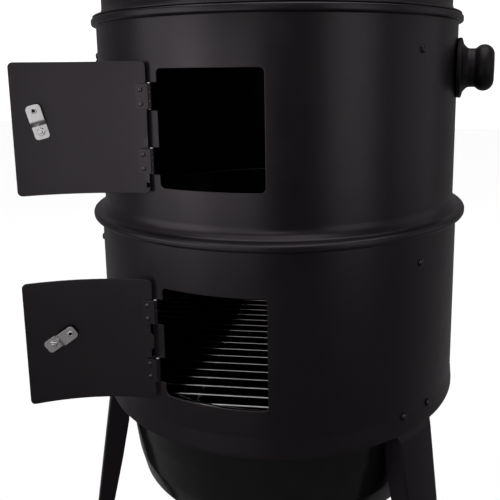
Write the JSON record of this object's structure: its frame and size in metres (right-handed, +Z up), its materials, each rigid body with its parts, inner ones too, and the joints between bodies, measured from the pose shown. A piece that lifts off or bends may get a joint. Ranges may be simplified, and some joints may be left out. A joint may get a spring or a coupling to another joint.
{
  "type": "vertical water smoker",
  "caption": "Upright charcoal smoker: a domed lid and two drum sections on splayed legs, each section with a curved hinged door, over a deep fire bowl",
  "frame": {"origin": "centre of the bounding box footprint on the floor, which is where the drum axis meets the floor", "axes": "+Z up along the drum axis, -Y towards the side with the doors, +X to the right of someone facing the doors"},
  "size_m": [0.474, 0.4876, 0.816],
  "materials": {
    "satin_black": "satin powder coat",
    "black_enamel": "glossy vitreous enamel",
    "black_bakelite": "satin moulded phenolic",
    "zinc_steel": "zinc plated",
    "plated_wire": "nickel-chrome plated wire",
    "dial_white": "matt printed dial",
    "needle_red": "satin paint",
    "gauge_glass": "clear"
  },
  "bodies": {
    "lower_section": {"lower_shell": "satin_black", "leg_left": "satin_black", "leg_right": "satin_black", "leg_rear": "satin_black", "leg_bolt_left_1": "satin_black", "leg_bolt_left_2": "satin_black", "leg_bolt_right_1": "satin_black", "leg_bolt_right_2": "satin_black", "leg_bolt_rear_1": "satin_black", "leg_bolt_rear_2": "satin_black", "bowl_bracket_left": "zinc_steel", "bowl_bracket_right": "zinc_steel", "bowl_bracket_rear": "zinc_steel", "bowl_bracket_bolt_left": "satin_black", "bowl_bracket_bolt_right": "satin_black", "bowl_bracket_bolt_rear": "satin_black", "lower_frame_leaf_top": "satin_black", "lower_frame_leaf_bottom": "satin_black", "lower_hinge_pin_top": "zinc_steel", "lower_hinge_pin_bottom": "zinc_steel"},
    "upper_section": {"upper_shell": "satin_black", "grate_bracket_left": "zinc_steel", "grate_bracket_right": "zinc_steel", "grate_bracket_rear": "zinc_steel", "grate_bracket_bolt_left": "satin_black", "grate_bracket_bolt_right": "satin_black", "grate_bracket_bolt_rear": "satin_black", "side_knob_left": "black_bakelite", "side_knob_right": "black_bakelite", "side_knob_screw_left": "zinc_steel", "side_knob_screw_right": "zinc_steel", "upper_frame_leaf_top": "satin_black", "upper_frame_leaf_bottom": "satin_black", "upper_hinge_pin_top": "zinc_steel", "upper_hinge_pin_bottom": "zinc_steel"},
    "lid": {"lid_shell": "satin_black", "lid_knob": "black_bakelite", "vent_rivet": "zinc_steel", "thermometer_case": "zinc_steel", "thermometer_dial": "dial_white", "thermometer_glass": "gauge_glass"},
    "vent_damper": {"vent_damper": "zinc_steel"},
    "thermometer_needle": {"thermometer_needle": "needle_red"},
    "upper_door": {"upper_door": "satin_black", "upper_door_leaf_top": "satin_black", "upper_door_leaf_bottom": "satin_black"},
    "lower_door": {"lower_door": "satin_black", "lower_door_leaf_top": "satin_black", "lower_door_leaf_bottom": "satin_black"},
    "upper_latch": {"upper_latch_tongue": "zinc_steel", "upper_latch_knob": "black_bakelite"},
    "lower_latch": {"lower_latch_tongue": "zinc_steel", "lower_latch_knob": "black_bakelite"},
    "upper_grate": {"upper_grate": "plated_wire"},
    "lower_grate": {"lower_grate": "plated_wire"},
    "water_bowl": {"water_bowl": "black_enamel"},
    "charcoal_bowl": {"charcoal_bowl": "black_enamel"}
  },
  "joints": [
    {"name": "upper_section_lift", "type": "slide", "parent": "lower_section", "child": "upper_section", "axis": [0, 0, 1], "range_m": [0, 0.25]},
    {"name": "lid_lift", "type": "slide", "parent": "upper_section", "child": "lid", "axis": [0, 0, 1], "range_m": [0, 0.2]},
    {"name": "upper_grate_lift", "type": "slide", "parent": "upper_section", "child": "upper_grate", "axis": [0, 0, 1], "range_m": [0, 0.06]},
    {"name": "water_bowl_lift", "type": "slide", "parent": "lower_section", "child": "water_bowl", "axis": [0, 0, 1], "range_m": [0, 0.1]},
    {"name": "charcoal_bowl_lift", "type": "slide", "parent": "lower_section", "child": "charcoal_bowl", "axis": [0, 0, 1], "range_m": [0, 0.04]},
    {"name": "lower_grate_lift", "type": "slide", "parent": "charcoal_bowl", "child": "lower_grate", "axis": [0, 0, 1], "range_m": [0, 0.04]},
    {"name": "upper_door_hinge", "type": "hinge", "parent": "upper_section", "child": "upper_door", "pos_m": [-0.05891, -0.1927, 0.555], "axis": [0, 0, 1], "range_deg": [-8, 158]},
    {"name": "lower_door_hinge", "type": "hinge", "parent": "lower_section", "child": "lower_door", "pos_m": [-0.05993, -0.19657, 0.3515], "axis": [0, 0, 1], "range_deg": [-8, 158]},
    {"name": "upper_latch_turn", "type": "hinge", "parent": "upper_door", "child": "upper_latch", "pos_m": [-0.15227, -0.22605, 0.554], "axis": [-0.5524, 0.8336, 0], "range_deg": [-76.5, 103.5]},
    {"name": "lower_latch_turn", "type": "hinge", "parent": "lower_door", "child": "lower_latch", "pos_m": [-0.15346, -0.22954, 0.3505], "axis": [-0.5449, 0.8385, 0], "range_deg": [-147, 33]},
    {"name": "vent_damper_turn", "type": "hinge", "parent": "lid", "child": "vent_damper", "pos_m": [0.07412, 0.06219, 0.76968], "axis": [0.1715, 0.1439, 0.9746], "range_deg": [0, 60]},
    {"name": "thermometer_needle_turn", "type": "hinge", "parent": "lid", "child": "thermometer_needle", "pos_m": [0, -0.18183, 0.72934], "axis": [0, -0.7379, 0.6749], "range_deg": [-240, 0]}
  ]
}
